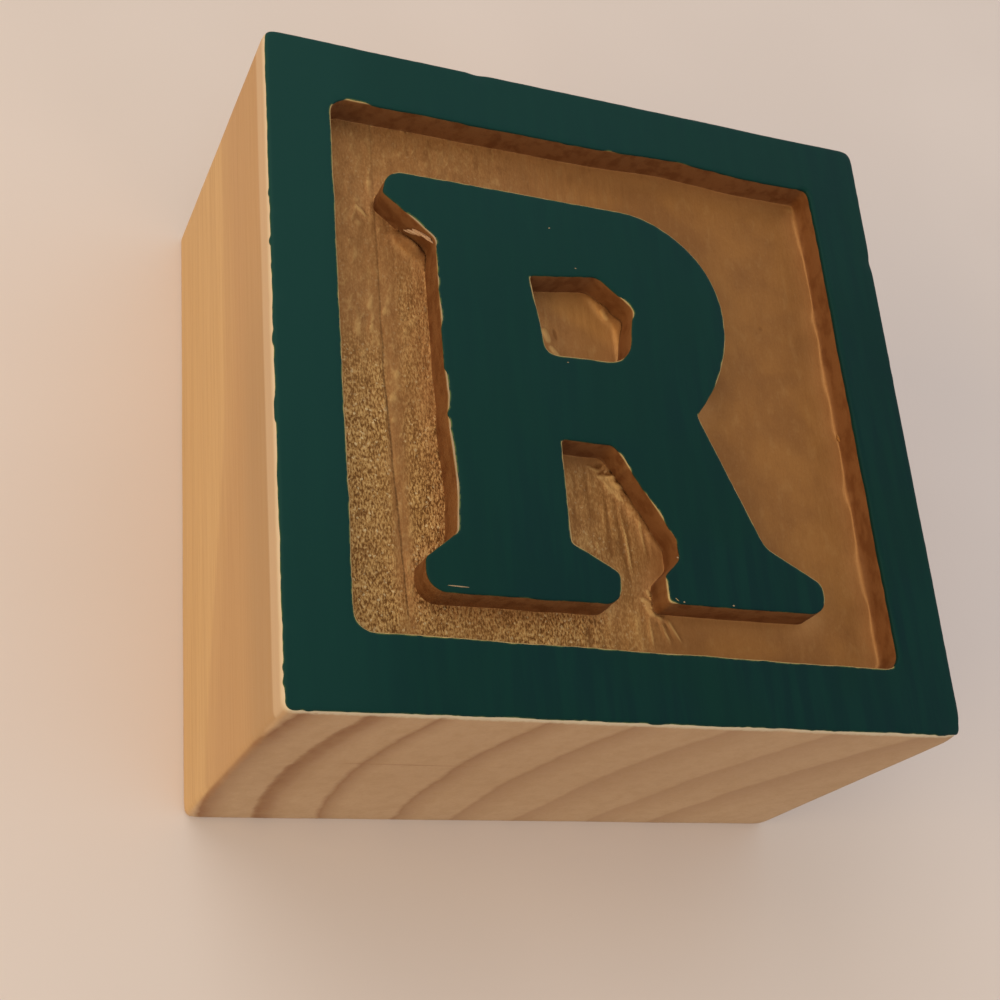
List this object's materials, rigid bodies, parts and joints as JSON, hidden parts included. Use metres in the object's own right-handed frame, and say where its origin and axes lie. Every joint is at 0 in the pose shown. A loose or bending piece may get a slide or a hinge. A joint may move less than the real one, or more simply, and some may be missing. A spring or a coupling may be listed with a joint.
{
  "type": "alphabet block",
  "caption": "Flat wooden letter block: a solid softwood block with a raised letter standing in a routed recess, painted rim and letter, metallic painted recess.",
  "frame": {"origin": "centre of the block's plain back face, which it lies on", "axes": "+Z out of the letter face, +Y up the letter, +X to the letter's right"},
  "size_m": [0.0694, 0.07, 0.0381],
  "materials": {
    "bare_pine": "sanded bare softwood",
    "green_paint": "satin brushed paint",
    "gold_paint": "metallic flake paint"
  },
  "bodies": {
    "root": {"wood_block": "bare_pine", "green_rim_coat": "green_paint", "green_letter_coat": "green_paint", "gold_recess_coat": "gold_paint", "gold_eye_coat": "gold_paint"}
  },
  "joints": []
}
